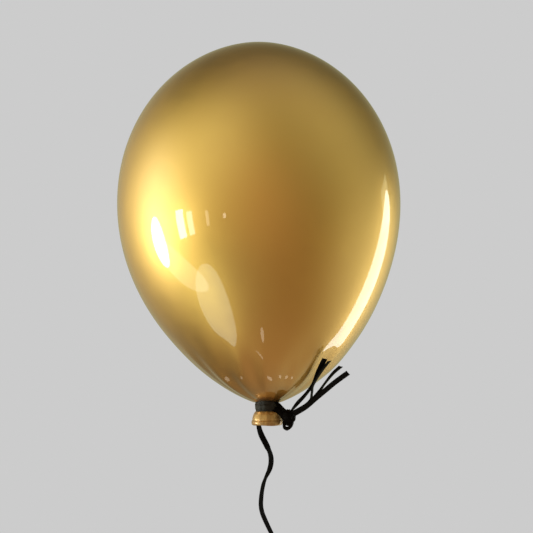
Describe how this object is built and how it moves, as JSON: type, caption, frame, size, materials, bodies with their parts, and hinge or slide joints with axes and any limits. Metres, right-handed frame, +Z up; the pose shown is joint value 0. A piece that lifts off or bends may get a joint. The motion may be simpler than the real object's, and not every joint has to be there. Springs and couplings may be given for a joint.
{
  "type": "latex balloon",
  "caption": "Round inflated latex party balloon with its neck gathered in a ribbon tie, loose cut ribbon ends beside the knot and a flat ribbon hanging below.",
  "frame": {"origin": "middle of the ribbon tie on the neck, on the neck's axis", "axes": "+Z up from the tied neck to the balloon's crown, -Y the front, +X to the right of someone facing the front"},
  "size_m": [0.254, 0.254, 0.5133],
  "materials": {
    "gold_latex": "pearl gold latex, glossy",
    "neck_latex": "unstretched pearl gold latex, satin",
    "bead_latex": "rolled gold latex, satin",
    "tie_ribbon": "black crimped curling ribbon",
    "hanging_ribbon": "black crimped curling ribbon"
  },
  "bodies": {
    "balloon": {"latex_bulb": "gold_latex", "gathered_neck": "neck_latex", "neck_skirt": "neck_latex", "rolled_bead": "bead_latex", "tie_wrap_upper": "tie_ribbon", "tie_wrap_lower": "tie_ribbon"},
    "knot": {"tie_knot": "tie_ribbon", "tie_bridge_upper": "tie_ribbon", "tie_bridge_lower": "tie_ribbon", "knot_bight": "tie_ribbon"},
    "tail_1": {"tail_1": "tie_ribbon"},
    "tail_2": {"tail_2": "tie_ribbon"},
    "tail_3": {"tail_3": "tie_ribbon"},
    "tail_4": {"tail_4": "tie_ribbon"},
    "hitch": {"hanger_hitch": "hanging_ribbon"},
    "ribbon": {"hanging_ribbon": "hanging_ribbon", "ribbon_coil": "hanging_ribbon", "coil_tie": "hanging_ribbon"}
  },
  "joints": [
    {"name": "knot_swing", "type": "hinge", "parent": "balloon", "child": "knot", "pos_m": [0.0115, -0.00287, 0], "axis": [0, 0, 1], "range_deg": [0, 40], "stiffness_Nm_per_rad": 0.0003},
    {"name": "tail_1_swing", "type": "hinge", "parent": "knot", "child": "tail_1", "pos_m": [0.01876, -0.008, -0.0099], "axis": [0, 0.7071, 0.7071], "range_deg": [0, 40], "stiffness_Nm_per_rad": 0.0002},
    {"name": "tail_2_swing", "type": "hinge", "parent": "knot", "child": "tail_2", "pos_m": [0.01876, -0.008, -0.0099], "axis": [0, 0.7071, 0.7071], "range_deg": [0, 40], "stiffness_Nm_per_rad": 0.0002},
    {"name": "tail_3_swing", "type": "hinge", "parent": "knot", "child": "tail_3", "pos_m": [0.01876, -0.008, -0.0099], "axis": [0, 0.7071, 0.7071], "range_deg": [0, 40], "stiffness_Nm_per_rad": 0.0002},
    {"name": "tail_4_swing", "type": "hinge", "parent": "knot", "child": "tail_4", "pos_m": [0.01876, -0.008, -0.0099], "axis": [0, 0.7071, 0.7071], "range_deg": [0, 40], "stiffness_Nm_per_rad": 0.0002},
    {"name": "ribbon_back_swing", "type": "hinge", "parent": "balloon", "child": "hitch", "pos_m": [-0.0079, 0.01039, -0.003], "axis": [1, 0, 0], "range_deg": [0, 60]},
    {"name": "ribbon_side_swing", "type": "hinge", "parent": "hitch", "child": "ribbon", "pos_m": [-0.0079, 0.01039, -0.003], "axis": [0, 1, 0], "range_deg": [-50, 50]}
  ]
}
